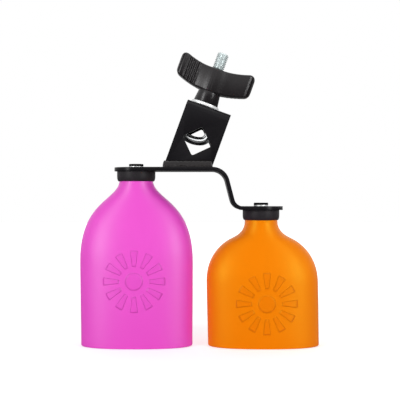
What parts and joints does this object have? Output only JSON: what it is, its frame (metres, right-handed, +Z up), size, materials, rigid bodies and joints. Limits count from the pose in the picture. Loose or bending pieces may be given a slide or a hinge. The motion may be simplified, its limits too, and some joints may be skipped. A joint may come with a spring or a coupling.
{
  "type": "agogo bell",
  "caption": "Pink and orange moulded agogo bells on a stepped black steel strap, with a tilted rod clamp closed by an eye bolt and wing nut.",
  "frame": {"origin": "middle of the whole object's box, at the plane of the bells' mouths", "axes": "+X from the large bell to the small one, +Y from front to back, +Z up from the mouths to the wing nut"},
  "size_m": [0.162, 0.0354, 0.1989],
  "materials": {
    "powder_coat": "black satin powder coat on steel",
    "zinc_plate": "bright zinc plate on steel",
    "black_nylon": "black moulded nylon, satin",
    "pink_plastic": "pink moulded plastic, soft gloss",
    "orange_plastic": "orange moulded plastic, soft gloss",
    "black_rubber": "black rubber, smooth",
    "black_oxide": "black oxide on steel",
    "white_nylon": "natural nylon"
  },
  "bodies": {
    "frame": {"mount_strap": "powder_coat", "clamp_bracket": "powder_coat", "weld_beads": "powder_coat", "large_bell": "pink_plastic", "small_bell": "orange_plastic", "large_cap": "black_rubber", "small_cap": "black_rubber", "large_screw": "black_oxide", "small_screw": "black_oxide", "large_screw_washer": "zinc_plate", "small_screw_washer": "zinc_plate", "large_inner_washer": "zinc_plate", "small_inner_washer": "zinc_plate", "large_lock_nut": "zinc_plate", "small_lock_nut": "zinc_plate", "large_nut_ring": "white_nylon", "small_nut_ring": "white_nylon"},
    "shuttle": {"clamp_washer": "zinc_plate"},
    "nut": {"wing_nut": "black_nylon", "nut_insert": "zinc_plate"},
    "bolt": {"eye_bolt": "zinc_plate"}
  },
  "joints": [
    {"name": "clamp_shift", "type": "slide", "parent": "frame", "child": "shuttle", "axis": [0.9397, 0, -0.342], "range_m": [0, 0.0045]},
    {"name": "nut_turn", "type": "hinge", "parent": "shuttle", "child": "nut", "pos_m": [0.0034, 0, 0.16204], "axis": [0.342, 0, 0.9397], "range_deg": [0, 2880]},
    {"name": "bolt_draw", "type": "slide", "parent": "shuttle", "child": "bolt", "axis": [0.342, 0, 0.9397], "range_m": [-0.01, 0]}
  ],
  "couplings": [
    {"joint": "bolt_draw", "follows": "nut_turn", "m_per_rad": -0.00019894}
  ]
}
